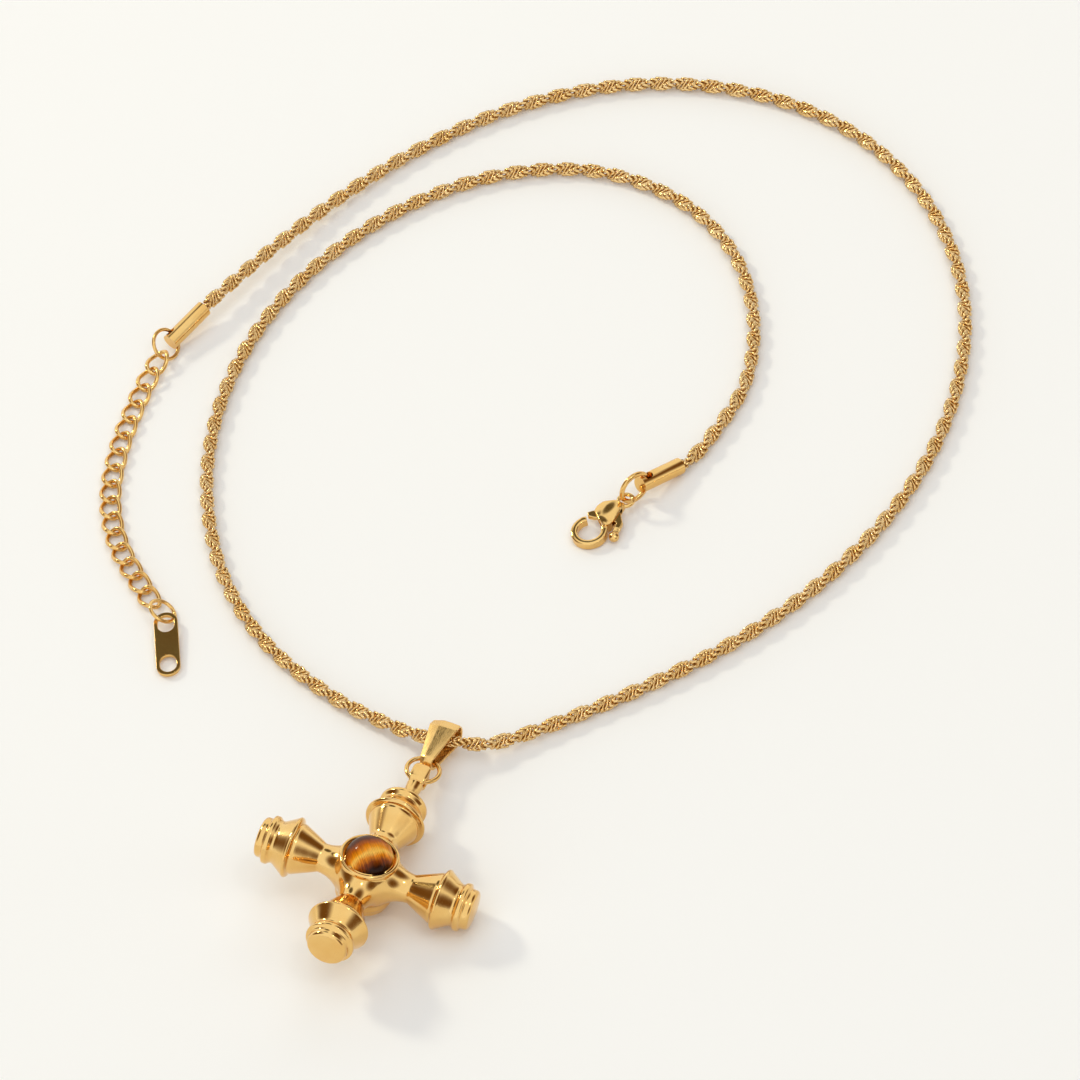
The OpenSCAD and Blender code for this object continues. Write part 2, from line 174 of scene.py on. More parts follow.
# A ring of round wire in its own XY plane, then turned and moved.
def jumpRing(at, turn, outerDiameter, wire, steps=72, sides=20):
    a = np.linspace(0, 2 * math.pi, steps, endpoint=False)
    radial = np.stack([np.cos(a), np.sin(a), 0 * a], 1)
    axial = np.tile([0.0, 0.0, 1.0], (steps, 1))
    points, faces = wireLoop(radial * (outerDiameter - wire) / 2, radial, axial, wire / 2, sides)
    return outward(place(points, at, turn), faces)


# The part's own curve through its route points: a cubic between each two, led by their neighbours.
def smoothRoute(route, steps):
    p = np.asarray(route, float)
    padded = np.concatenate([p[:1], p, p[-1:]])
    a, b, c, d = (padded[k:k + len(p) - 1, None] for k in range(4))
    t = np.linspace(0, 1, steps, endpoint=False)[None, :, None]
    line = 0.5 * (2 * b + (c - a) * t + (2 * a - 5 * b + 4 * c - d) * t ** 2
                  + (3 * b - a - 3 * c + d) * t ** 3)
    return np.concatenate([line.reshape(-1, 3), p[-1:]])


# The distance run along a line at each of its points.
def distanceRun(line):
    return np.concatenate([[0], np.cumsum(np.linalg.norm(np.diff(line, axis=0), axis=1))])


# The points of a line where it has run the given distances.
def pointsAt(line, run, distances):
    return np.stack([np.interp(distances, run, line[:, k]) for k in range(line.shape[1])], -1)


# Points at given distances along a line, and the line's direction there, from points a little before and
# after.
def along(line, distances, reach=0.3):
    run = distanceRun(line)
    before = pointsAt(line, run, np.maximum(distances - reach, 0))
    after = pointsAt(line, run, np.minimum(distances + reach, run[-1]))
    return pointsAt(line, run, distances), unit(after - before)


# Equal steps round a closed line.
def evenLoop(points, count):
    line = np.concatenate([points, points[:1]])
    run = distanceRun(line)
    return pointsAt(line, run, np.linspace(0, run[-1], count, endpoint=False))


# Materials
# Linear red, green, blue, alpha from an sRGB hex code.
def colour(code):
    c = np.array([int(code[k:k + 2], 16) for k in (1, 3, 5)]) / 255
    linear = np.where(c <= 0.04045, c / 12.92, ((c + 0.055) / 1.055) ** 2.4)
    return (*linear.tolist(), 1.0)


# A node with its own settings, input values and incoming links.
def addNode(tree, kind, values=None, links=None, **settings):
    node = tree.nodes.new(kind)
    for key, value in settings.items():
        setattr(node, key, value)
    for key, value in (values or {}).items():
        node.inputs[key].default_value = value
    for key, source in (links or {}).items():
        tree.links.new(source, node.inputs[key])
    return node


# A material with the shader's own sockets set to values.
def newMaterial(name, values):
    material = bpy.data.materials.new(name)
    material.use_nodes = True
    shader = material.node_tree.nodes["Principled BSDF"]
    for key, value in values.items():
        shader.inputs[key].default_value = value
    return material, material.node_tree, shader


# A colour ramp of (position, hex) stops.
def ramp(tree, factor, stops):
    node = addNode(tree, "ShaderNodeValToRGB", links={"Fac": factor})
    elements = node.color_ramp.elements
    while len(elements) < len(stops):
        elements.new(1.0)
    for element, (position, code) in zip(elements, stops):
        element.position = position
        element.color = colour(code)
    return node.outputs["Color"]


goldLook = {
    "body": "#EEC57C",   # 18 carat plating, warm yellow
    "deep": "#E7B76A",   # a little redder where the plating is thick
    "cloudMm": 3.2,      # from one shade to the next
    "waveMm": 1.6,       # hand polishing leaves shallow waves of this size
    "waveDepth": 0.4,    # in millimetres, before the bump's own strength
    "grainMm": 0.07,     # wheel marks, drawn coarse enough to show
    "grainDepth": 0.02,
    "brushLength": 12.0,  # brushed marks are so many times longer than wide
}


# Gold plating over cast steel, polished on a wheel: a clean mirror, slightly wavy, with faint wheel marks.
# Brushed places have long marks along one heading instead.
def polishedGold(name, roughness=0.12, wave=0.05, grain=0.03, body=None, deep=None, brushed=None):
    material, tree, shader = newMaterial(name, {"Metallic": 1.0})
    spot = addNode(tree, "ShaderNodeTexCoord").outputs["Object"]
    cloud = addNode(tree, "ShaderNodeTexNoise", {"Scale": 1 / (goldLook["cloudMm"] * mm), "Detail": 3.0},
                    {"Vector": spot})
    stops = [(0.3, deep or goldLook["deep"]), (0.7, body or goldLook["body"])]
    tree.links.new(ramp(tree, cloud.outputs["Fac"], stops), shader.inputs["Base Color"])
    markSpot = spot
    if brushed is not None:
        turned = addNode(tree, "ShaderNodeMapping", {
            "Rotation": (0, 0, math.radians(brushed)), "Scale": (goldLook["brushLength"], 1.0, 1.0)},
            {"Vector": spot}, vector_type="TEXTURE")
        markSpot = turned.outputs["Vector"]
    marks = addNode(tree, "ShaderNodeTexNoise", {"Scale": 1 / (goldLook["grainMm"] * mm), "Detail": 2.0},
                    {"Vector": markSpot})
    rough = addNode(tree, "ShaderNodeMapRange", {
        "From Min": 0.3, "From Max": 0.7, "To Min": roughness * 0.7, "To Max": roughness * 1.4},
        {"Value": marks.outputs["Fac"]})
    tree.links.new(rough.outputs["Result"], shader.inputs["Roughness"])
    waves = addNode(tree, "ShaderNodeTexNoise", {"Scale": 1 / (goldLook["waveMm"] * mm), "Detail": 1.0},
                    {"Vector": spot})
    wide = addNode(tree, "ShaderNodeBump", {"Strength": wave, "Distance": goldLook["waveDepth"] * mm},
                   {"Height": waves.outputs["Fac"]})
    fine = addNode(tree, "ShaderNodeBump", {"Strength": grain, "Distance": goldLook["grainDepth"] * mm},
                   {"Height": marks.outputs["Fac"], "Normal": wide.outputs["Normal"]})
    tree.links.new(fine.outputs["Normal"], shader.inputs["Normal"])
    return material


castGold = polishedGold("polished_gold_plate")
bailGold = polishedGold("brushed_gold_plate", roughness=0.26, wave=0.03, grain=0.06, brushed=63.0)
wireGold = polishedGold("drawn_gold_wire", roughness=0.15, wave=0.03, grain=0.05)
ropeGold = polishedGold("woven_gold_wire", roughness=0.2, wave=0.02, grain=0.05,
                        body="#F2D095", deep="#E9BF78")


# Camera, floor, light
view = {
    "elevation": 46.5,     # degrees above the table
    "roll": 9.0,           # the photograph leans by this
    "focalPixels": 6500.0,  # in a picture 1080 pixels wide
    "distance": 780 * mm,  # to the table at the picture's middle
}


# The camera looks along +Y and down by the elevation, then rolls about its own axis.
def addCamera():
    e, r = math.radians(view["elevation"]), math.radians(view["roll"])
    forward = Vector((0, math.cos(e), -math.sin(e)))
    up = Vector((0, math.sin(e), math.cos(e)))
    side = Vector((1, 0, 0))
    right = side * math.cos(r) - up * math.sin(r)
    top = side * math.sin(r) + up * math.cos(r)
    data = bpy.data.cameras.new("camera")
    data.sensor_width = 36.0
    data.lens = view["focalPixels"] / 1080 * data.sensor_width
    data.clip_start, data.clip_end = 0.01, 10.0
    camera = bpy.data.objects.new("camera", data)
    spin = Matrix((right, top, -forward)).transposed()
    camera.matrix_world = Matrix.Translation(Vector(lay * mm) - forward * view["distance"]) @ spin.to_4x4()
    bpy.context.scene.collection.objects.link(camera)
    bpy.context.scene.camera = camera


studio = {
    "table": "#FDFCF6",
    "tableSize": 3.0,
    "tent": "#F7FAFF", "tentStrength": 1.15,  # white cloth all round
    # openings in the cloth, which the gold mirrors: direction, half angle, the soft part of it, and colour
    "gaps": [
        ((-0.80, 0.15, 0.55), 37.0, 0.75, "#6B4C26"),
        ((0.80, 0.22, 0.55), 35.0, 0.75, "#6B4C26"),
        ((0.58, -0.76, 0.30), 31.0, 0.9, "#6B4C26"),
        ((-0.44, 0.56, 0.70), 13.0, 0.5, "#5A4C30"),
        ((0.0, 0.60, 0.80), 15.0, 0.4, "#5E5848"),
    ],
    "lamps": [  # name, direction, distance, size, power, colour
        ("key_lamp", (-0.60, 0.58, 0.62), 1.4, 0.19, 4.8, "#FFFBE8"),
        ("side_lamp", (0.30, -0.35, 0.88), 0.9, 0.06, 0.25, "#FFFFFF"),
    ],
}


# A flat pale table, on which the lowest solids rest. Matt card scatters nearly all its light and hardly
# shines.
def addTable():
    s = studio["tableSize"] / 2
    mesh = bpy.data.meshes.new("table")
    mesh.from_pydata([(-s, -s, 0), (s, -s, 0), (s, s, 0), (-s, s, 0)], [], [(0, 1, 2, 3)])
    material, _, _ = newMaterial("matt_white_card", {
        "Base Color": colour(studio["table"]), "Roughness": 0.9, "Specular IOR Level": 0.1})
    mesh.materials.append(material)
    table = bpy.data.objects.new("table", mesh)
    bpy.context.scene.collection.objects.link(table)


# Square lamps that face the table's middle.
def addLamps():
    for name, towards, distance, size, power, code in studio["lamps"]:
        data = bpy.data.lights.new(name, "AREA")
        data.size, data.energy, data.color = size, power, colour(code)[:3]
        lamp = bpy.data.objects.new(name, data)
        direction = Vector(towards).normalized()
        lamp.location = direction * distance
        lamp.rotation_euler = direction.to_track_quat("Z", "Y").to_euler()
        bpy.context.scene.collection.objects.link(lamp)


# White cloth all round, with soft brown openings, which give the gold its darker reflections. An opening is
# where the direction's cosine from its middle is near 1.
def addTent():
    world = bpy.data.worlds.new("tent")
    bpy.context.scene.world = world
    world.use_nodes = True
    tree = world.node_tree
    sky = addNode(tree, "ShaderNodeTexCoord").outputs["Generated"]
    shade = None
    for towards, width, soft, code in studio["gaps"]:
        middle = tuple(Vector(towards).normalized())
        near = addNode(tree, "ShaderNodeVectorMath", {1: middle}, {0: sky}, operation="DOT_PRODUCT")
        edge, full = math.cos(math.radians(width)), math.cos(math.radians(width * (1 - soft)))
        inside = addNode(tree, "ShaderNodeMapRange", {"From Min": edge, "From Max": full},
                         {"Value": near.outputs["Value"]}, interpolation_type="SMOOTHSTEP").outputs["Result"]
        mixed = addNode(tree, "ShaderNodeMix", {6: colour(studio["tent"]), 7: colour(code)}, {0: inside},
                        data_type="RGBA")
        if shade is not None:
            tree.links.new(shade, mixed.inputs[6])
        shade = mixed.outputs[2]
    background = tree.nodes["Background"]
    background.inputs["Strength"].default_value = studio["tentStrength"]
    tree.links.new(shade, background.inputs["Color"])


addCamera()
addTable()
addLamps()
addTent()
bpy.context.scene.view_settings.view_transform = "Standard"
print("camera, table and light are set")


# Rope chain
rope = {
    # the part's own route, in millimetres
    "route": [
        [-39.64, 43.64, 1.82], [-36.55, 46.45, 2.33], [-35.27, 47.62, 2.5], [-26.8, 55.8, 2],
        [-17.3, 63.9, 1.3], [-7, 70.4, 0.95], [4.1, 74.7, 0.95], [16.1, 76.2, 0.95], [27.8, 74.3, 0.95],
        [38.5, 68.9, 0.95], [47.1, 60.6, 0.95], [52.9, 50.1, 0.95], [55.8, 38.4, 0.95], [55.9, 26.5, 0.95],
        [53.3, 14.8, 0.95], [48.4, 3.8, 0.95], [41.5, -5.9, 0.95], [32.9, -14.2, 0.95], [23, -20.9, 0.95],
        [12.05, -25.95, 0.95], [0.7, -29.8, 0.95], [-7.6, -32.2, 1.4], [-11.3, -32.85, 2.3],
        [-14.3, -31.6, 2.45], [-17.3, -30.35, 2.4], [-20.5, -27.35, 1.6], [-26.95, -20.8, 0.95],
        [-33.8, -11.1, 0.95], [-37.95, 0.1, 0.95], [-39.2, 12.1, 0.95], [-38, 24, 0.95],
        [-34.3, 35.4, 0.95], [-28.2, 45.6, 0.95], [-19.8, 54.1, 0.95], [-9.5, 60.3, 0.95],
        [2.1, 63.1, 0.95], [13.8, 61.2, 0.95], [23.4, 54, 0.95], [29, 43.6, 0.95], [30.3, 31.6, 0.95],
        [27.8, 20, 0.95], [22.3, 11.55, 0.95], [19.6, 8.6, 0.97], [18.2, 7.58, 1.07], [14.99, 5.38, 2]],
    "routeSteps": 24,
    "startAt": 3.2, "endAt": 3.3,  # the links begin this far from each end, inside the tubes
    "spacing": 0.55,   # from one link to the next
    "turn": -30.0,     # degrees from one link to the next: the twist has a lobe each 3.3 mm
    "halfWidth": 0.73, "halfThickness": 0.22, "shear": 0.5,  # of a link
    "squareness": 0.5,  # below 1 the link's two ends run straight along the rope
    "wireRadius": 0.185,
    "endScale": 0.78, "endReach": 1.6,  # the links are smaller where they go into a tube
    # and a little in the bail, within this reach of its middle, growing back over the fade
    "bailAt": [-14.3, -31.6, 2.45], "bailScale": 0.94, "bailReach": 3.4, "bailFade": 1.5,
    "steps": 14, "sides": 5,
}


# Each link's size: smaller near the rope's ends and in the bail.
def linkSizes(distances, centre):
    nearEnd = np.minimum(distances - distances[0], distances[-1] - distances)
    endSize = np.interp(nearEnd, [0, rope["endReach"]], [rope["endScale"], 1])
    nearBail = np.linalg.norm(centre - rope["bailAt"], axis=1)
    fade = [rope["bailReach"], rope["bailReach"] + rope["bailFade"]]
    return np.minimum(endSize, np.interp(nearBail, fade, [rope["bailScale"], 1]))


# Bent links of wire in a row, each turned a little further about the rope. A link goes round as across times
# the cosine of a, with its size raised to the squareness, plus towards times sin a, and it leans along the
# rope by sin 2a, which slants its wire the same way on both faces.
def ropeLinks():
    line = smoothRoute(rope["route"], rope["routeSteps"])
    distances = np.arange(rope["startAt"], distanceRun(line)[-1] - rope["endAt"], rope["spacing"])
    centre, ahead = along(line, distances)
    side = unit(np.cross(ahead, [0, 0, 1]))
    up = np.cross(side, ahead)
    phi = np.radians(rope["turn"] * np.arange(len(distances)))[:, None]
    towards = up * np.cos(phi) + side * np.sin(phi)
    across = side * np.cos(phi) - up * np.sin(phi)
    size = linkSizes(distances, centre)[:, None, None]
    a = np.linspace(0, 2 * math.pi, rope["steps"], endpoint=False)[None, :, None]
    middle = centre[:, None] + size * (
        rope["halfWidth"] * across[:, None] * boxy(np.cos(a), rope["squareness"])
        + rope["halfThickness"] * towards[:, None] * np.sin(a)
        - rope["shear"] * ahead[:, None] * np.sin(2 * a))
    forward = unit(np.roll(middle, -1, axis=1) - np.roll(middle, 1, axis=1))
    first = unit(np.cross(forward, middle - centre[:, None]))
    second = np.cross(first, forward)
    b = np.linspace(0, 2 * math.pi, rope["sides"], endpoint=False)[:, None]
    wire = first[:, :, None] * np.cos(b) + second[:, :, None] * np.sin(b)
    points = middle[:, :, None] + rope["wireRadius"] * size[:, None] * wire
    _, one = outward(points[0].reshape(-1, 3), gridFaces(rope["steps"], rope["sides"], True, True))
    starts = rope["steps"] * rope["sides"] * np.arange(len(distances))[:, None, None]
    return points.reshape(-1, 3), (one[None] + starts).reshape(-1, 4)


addPiece("rope_links", [ropeLinks()], ropeGold, ["rope_chain"])


# Cross
cross = {
    "at": [-25.4, -52.5, 5.34], "turn": [-7.9, 11.4, -27.2],
    "neck": 1.7, "web": 3.8,   # the arms flow into the ball along arcs of the web's radius
    "rootAngles": [0.93, 0.85], "sink": 0.003,  # an arm starts inside the ball, and follows it
    # radius and distance from the middle, from the neck to the cap
    "arm": [[2.05, 6.25], [3.0, 8.4], [3.02, 8.72], [3.4, 8.8], [3.6, 9.0], [3.6, 9.18], [3.4, 9.45],
            [2.6, 10.7], [2.5, 10.95], [2.58, 11.2], [2.86, 11.5], [2.86, 11.98], [2.44, 12.15],
            [2.38, 12.35]],
    "capRadius": 2.38, "capEdge": 0.45, "tip": 13.3, "capRise": 0.2,
    # the top arm ends under the stem
    "stemArmEnd": [[2.38, 12.4], [2.2, 12.62], [1.7, 12.78], [1.3, 12.9], [0, 12.9]],
    # radius and height: the back's foot, and from the ball round the setting's lip and down into its cup
    "foot": [[3.21, -3.2], [3.36, -3.0]],
    "lip": [[3.3, 2.3], [3.5, 2.42], [3.52, 2.77], [3.36, 2.97], [3.12, 2.97], [3.0, 2.85], [3.0, 1.2]],
    "hub": 3.36, "back": 4.8, "backFlat": 1.2, "backRound": 2.01,
    "sides": 96, "hubSides": 128, "step": 0.3,
}


# The radius of the ball in which the arms' webs meet.
def ballRadius():
    return (cross["neck"] + cross["web"]) * math.sqrt(2) - cross["web"]


# Radius against distance: an arc out of the ball, the neck, the flare, the flange, the bead and the cap.
def armProfile(plainTip):
    t = np.radians(np.linspace(45, 0, 16))
    c = cross["neck"] + cross["web"]
    ball = ballRadius() - cross["sink"]
    start = [[ball * math.sin(u), ball * math.cos(u)] for u in cross["rootAngles"]]
    web = np.stack([c - cross["web"] * np.cos(t), c - cross["web"] * np.sin(t)], 1)
    end = np.array(cross["stemArmEnd"])
    if plainTip:
        k = np.radians(np.arange(0, 91, 10))
        edge, r, shoulder = cross["capEdge"], cross["capRadius"], cross["tip"] - cross["capRise"]
        corner = np.stack([r - edge * (1 - np.cos(k)), shoulder - edge * (1 - np.sin(k))], 1)
        face = [[q, shoulder + cross["capRise"] * (1 - (q / (r - edge)) ** 2)] for q in (1.5, 1.0, 0.5, 0.0)]
        end = np.concatenate([corner, face])
    body = split(softCorners(np.concatenate([web[-1:], cross["arm"], end[:1]]), 0.07), cross["step"])
    return np.concatenate([[[0, start[0][1]]], start, web[:-1], body, end[1:]])


# Radius against height: the domed back, the foot, the ball, the groove, the rounded lip and the stone's cup.
def hubProfile():
    k = np.radians(np.arange(90, -1, -7.5))
    bottom = cross["foot"][0][1]
    dome = np.stack([cross["backFlat"] + cross["backRound"] * np.cos(k),
                     bottom - (cross["back"] + bottom) * np.sin(k)], 1)
    ball = ballRadius()
    lean = math.asin(cross["hub"] / ball)
    m = np.linspace(math.pi - lean, lean, 40)
    belly = np.stack([ball * np.sin(m), ball * np.cos(m)], 1)
    foot = softCorners(np.concatenate([cross["foot"], belly[:1]]), 0.08)
    lip = softCorners(np.concatenate([belly[-1:], cross["lip"]]), 0.1)
    side = split(np.concatenate([foot, belly[1:-1], lip]), cross["step"])
    return np.concatenate([[[0, -cross["back"]]], dome[:-1], side, [[0, cross["lip"][-1][1]]]])


eye = {
    "from": 15.5, "to": 18.93, "head": 1.0,  # the head from the side: two half circles with straight sides
    "slotFrom": 15.95, "slotTo": 17.15, "slotHalf": 0.4,
    "halfAt": [15.5, 16.4, 18.13, 18.93], "half": [0.86, 1.05, 1.05, 0.8],  # half its width along the stem
    "count": 72, "squareness": 0.4,
    # radius and distance of the stem
    "stem": [[0, 12.4], [1.25, 12.4], [1.25, 12.95], [0.98, 13.2], [0.9, 14.4], [0.95, 15.3], [1.0, 15.6],
             [0.8, 15.85], [0, 15.9]],
    "stemSides": 64,
}


# A band round a hole. Its section is a rounded box, as its depth and width are a boxy cosine and sine.
def loopBand(outer, inner, half):
    a = np.linspace(0, 2 * math.pi, 24, endpoint=False)
    depth = 0.5 + 0.5 * boxy(np.cos(a), eye["squareness"])
    width = boxy(np.sin(a), eye["squareness"])
    flat = inner[:, None] + depth[None, :, None] * (outer - inner)[:, None]
    points = np.concatenate([(half[:, None] * width)[..., None], flat], 2)
    return points.reshape(-1, 3), gridFaces(len(outer), len(a), True, True)


# Points round two half circles joined by straight sides, as (y, z).
def stadium(yFrom, yTo, radius, count):
    a = np.linspace(0, 2 * math.pi, count, endpoint=False)
    y = np.where(np.cos(a) > 0, yTo - radius, yFrom + radius) + radius * np.cos(a)
    return np.stack([y, radius * np.sin(a)], 1)


# The stem, and the flat-sided head with its slot for the ring.
def eyeShells():
    stemPoints, stemFaces = lathe(split(softCorners(eye["stem"], 0.1), cross["step"]), eye["stemSides"])
    outer = stadium(eye["from"], eye["to"], eye["head"], eye["count"])
    inner = stadium(eye["slotFrom"], eye["slotTo"], eye["slotHalf"], eye["count"])
    half = np.interp(outer[:, 0], eye["halfAt"], eye["half"])
    return [(bent(stemPoints, [-90, 0, 0]), stemFaces), loopBand(outer, inner, half)]


# Four turned arms, the hub with its setting, and the stem with its eye, in the cross's own frame.
def crossShells():
    shells = []
    for turn, plain in (([0, 90, 0], True), ([0, -90, 0], True), ([90, 0, 0], True), ([-90, 0, 0], False)):
        points, faces = lathe(armProfile(plain), cross["sides"])
        shells.append((bent(points, turn), faces))
    shells.append(lathe(hubProfile(), cross["hubSides"]))
    return [outward(place(p, cross["at"], cross["turn"]), f) for p, f in shells + eyeShells()]


addPiece("cross_metal", crossShells(), castGold, ["cross_body"])


# Stone
stone = {
    "radius": 2.88, "girdle": 2.2, "dome": 2.8, "foot": 1.32,
    # the bright band is a painted sheen: its heading and place are set here, its colours in the stops below
    "bandHeading": 14.0,   # degrees of the bright band on the table
    "bandShift": -1.0,     # from the dome's top towards the viewer
    "bandsFrom": -1.6, "bandsTo": 3.6,  # across the band, from its middle
    "swayMm": 2.2, "sway": 1.3,  # the band's slow bends, and how far they go
    "fibreMm": [0.09, 2.4, 2.4],  # the silky fibres lie across the band
    "rag": 0.55,           # how far they carry its edges
    "silk": [0.55, 1.25],  # the darkest and the lightest fibre
    # the stone's own browns and gold, and in the middle the bright stops of the painted sheen
    "stoneAndSheen": [
        (0.0, "#160A04"), (0.18, "#2E1206"), (0.3, "#8A3E04"), (0.4, "#E48410"), (0.48, "#FFC858"),
        (0.56, "#EE9214"), (0.7, "#B45A08"), (0.86, "#5E2C08"), (1.0, "#44240E")],
    "sides": 128,
}


# Tiger's eye, cut as a dome and polished: deep brown stone with golden fibres. Its bright silky band, the
# sheen the fibres give in the light, is painted into the colour.
def tigersEye():
    material, tree, shader = newMaterial("tigers_eye_cabochon", {
        "Roughness": 0.3, "Specular IOR Level": 0.05, "Coat Weight": 0.2, "Coat Roughness": 0.03})
    top = place(np.array([[0, 0, stone["girdle"] + stone["dome"]]]), cross["at"], cross["turn"])[0]
    top = top + lay + np.array([0, stone["bandShift"], 0])
    spot = addNode(tree, "ShaderNodeTexCoord").outputs["Object"]
    turned = addNode(tree, "ShaderNodeMapping", {
        "Location": tuple(top * mm), "Rotation": (0, 0, math.radians(stone["bandHeading"]))},
        {"Vector": spot}, vector_type="TEXTURE").outputs["Vector"]
    sway = addNode(tree, "ShaderNodeTexNoise", {"Scale": 1 / (stone["swayMm"] * mm), "Detail": 2.0},
                   {"Vector": turned})
    axes = addNode(tree, "ShaderNodeSeparateXYZ", links={"Vector": turned})
    fibreScale = tuple(1 / (size * mm) for size in stone["fibreMm"])
    fibreSpace = addNode(tree, "ShaderNodeMapping", {"Scale": fibreScale}, {"Vector": turned})
    fibres = addNode(tree, "ShaderNodeTexNoise", {"Scale": 1.0, "Detail": 4.0, "Roughness": 0.6},
                     {"Vector": fibreSpace.outputs["Vector"]})
    swayed = addNode(tree, "ShaderNodeMath", {1: stone["sway"] * mm},
                     {0: sway.outputs["Fac"], 2: axes.outputs["Y"]}, operation="MULTIPLY_ADD")
    rag = addNode(tree, "ShaderNodeMath", {1: stone["rag"] * mm},
                  {0: fibres.outputs["Fac"], 2: swayed.outputs["Value"]}, operation="MULTIPLY_ADD")
    across = addNode(tree, "ShaderNodeMapRange", {
        "From Min": stone["bandsFrom"] * mm, "From Max": stone["bandsTo"] * mm},
        {"Value": rag.outputs["Value"]})
    # painted sheen: the bright band lies in the colour along a fixed heading, over the stone's own browns
    stoneAndSheen = ramp(tree, across.outputs["Result"], stone["stoneAndSheen"])
    darkest, lightest = stone["silk"]
    streak = addNode(tree, "ShaderNodeMapRange", {
        "From Min": 0.35, "From Max": 0.65, "To Min": darkest, "To Max": lightest},
        {"Value": fibres.outputs["Fac"]})
    silk = addNode(tree, "ShaderNodeVectorMath", links={0: stoneAndSheen, "Scale": streak.outputs["Result"]},
                   operation="SCALE")
    tree.links.new(silk.outputs["Vector"], shader.inputs["Base Color"])
    return material


# A short drum with a rounded foot under a dome: r = radius cos a, z = girdle + dome sin a.
def stoneShell():
    a = np.radians(np.linspace(0, 90, 40))
    r = stone["radius"]
    dome = np.stack([r * np.cos(a), stone["girdle"] + stone["dome"] * np.sin(a)], 1)
    bottom = stone["foot"]
    foot = softCorners([[r - 0.2, bottom], [r, bottom + 0.15], [r, stone["girdle"] - 0.05]], 0.05)
    points, faces = lathe(np.concatenate([[[0, bottom]], foot, dome]), stone["sides"])
    return outward(place(points, cross["at"], cross["turn"]), faces)


addPiece("stone_cabochon", [stoneShell()], tigersEye(), ["stone"])


# Rings
rings = {
    # the first one is placed in the cross's own frame
    "pendant": {"at": [0, 18.33, 0], "turn": [0, 0, 0], "diameter": 4.4, "wire": 0.54},
    "extender": {"at": [-42.07, 41.43, 1.79], "turn": [52.7, 0, 53.2], "diameter": 4.2, "wire": 0.46},
    "tag": {"at": [-45.9, -3, 1.22], "turn": [0, 36, 0], "diameter": 3.76, "wire": 0.46},
    "clasp": {"at": [12.22, 3.8, 2.47], "turn": [90, 0, 31], "diameter": 4.5, "wire": 0.62},
}


# Jump rings of round wire.
def addRings():
    for name, p in rings.items():
        points, faces = jumpRing(p["at"], p["turn"], p["diameter"], p["wire"])
        if name == "pendant":
            points = place(points, cross["at"], cross["turn"])
        addPiece(name + "_jump_ring", [(points, faces)], castGold, [name + "_ring"])


addRings()


# Extender
extender = {
    "route": [[-43.4, 39.15, 1.15], [-44.8, 36.8, 0.86], [-46.5, 33.2, 0.65], [-48.8, 27.2, 0.63],
              [-50.5, 20.6, 0.63], [-51, 14.8, 0.63], [-50.2, 8.4, 0.63], [-47.4, 0, 0.64]],
    "routeSteps": 12,
    "count": 16, "halfLength": 1.72, "halfWidth": 1.13, "twist": 0.34, "wire": 0.54,
    "steps": 40, "sides": 10,
}


# Wire round an oval: x = a cos t, y = b sin t, z = -c sin 2t, laid along the chain.
def linkShell(at, ahead):
    t = np.linspace(0, 2 * math.pi, extender["steps"], endpoint=False)
    a, b, c = extender["halfLength"], extender["halfWidth"], extender["twist"]
    middle = np.stack([a * np.cos(t), b * np.sin(t), -c * np.sin(2 * t)], 1)
    forward = unit(np.stack([-a * np.sin(t), b * np.cos(t), -2 * c * np.cos(2 * t)], 1))
    side = unit(np.cross(forward, [0, 0, 1]))
    points, faces = wireLoop(middle, side, np.cross(side, forward), extender["wire"] / 2, extender["sides"])
    pitch, heading = -math.degrees(math.asin(ahead[2])), math.degrees(math.atan2(ahead[1], ahead[0]))
    return outward(place(points, at, [0, pitch, heading]), faces)


# The links stand at equal distances along the route.
def addLinks():
    line = smoothRoute(extender["route"], extender["routeSteps"])
    places, headings = along(line, np.linspace(0, distanceRun(line)[-1], extender["count"]))
    for k, (at, ahead) in enumerate(zip(places, headings), 1):
        addPiece("link_%d" % k, [linkShell(at, ahead)], wireGold, ["extender_link_%d" % k])


addLinks()


# Bail
bail = {
    "foot": [0, 20.16, -0.03], "roll": -10.8, "pitch": 5.5, "yaw": -4.7,  # in the cross's own frame
    "length": 4.6, "footRadius": 1.03, "headRadius": 1.46, "wall": 0.38,
    "footArc": [-95, -265, 19], "headArc": [14, -84.6, 14],  # degrees from and to, and how many points
    # the top facet's two edges, from the head's middle and its radius
    "crease": [[-0.25, -0.02], [1.02, -0.42]],
    "headFacet": 0.02,     # the head's arc is smaller by this
    "footHalf": 0.92, "headHalf": 1.77,  # half widths at the foot's middle and at the head's middle
    "headTaper": 0.1,      # above that the strap narrows by so much a millimetre
    "bevel": 0.36, "bevelDrop": 0.26,    # the bevel's share of the front's width, and how far it falls
    "thinBevel": 0.09,
    "softness": 0.07,      # each corner of the section is cut by this share of its sides
    "count": 220,
}


# The loop's outline from the side, as (y, z): round the foot, up the flat front to a crease, over the sloping
# top facet, and round the head to the back.
def bailOutline():
    r, q, n = bail["footRadius"], bail["headRadius"], bail["length"]
    foot, head = np.radians(np.linspace(*bail["footArc"])), np.radians(np.linspace(*bail["headArc"]))
    top = q - bail["headFacet"]
    return np.concatenate([
        np.stack([r * np.cos(foot), r * np.sin(foot)], 1),
        np.array(bail["crease"]) + [n, q],
        np.stack([n + top * np.cos(head), top * np.sin(head)], 1)])


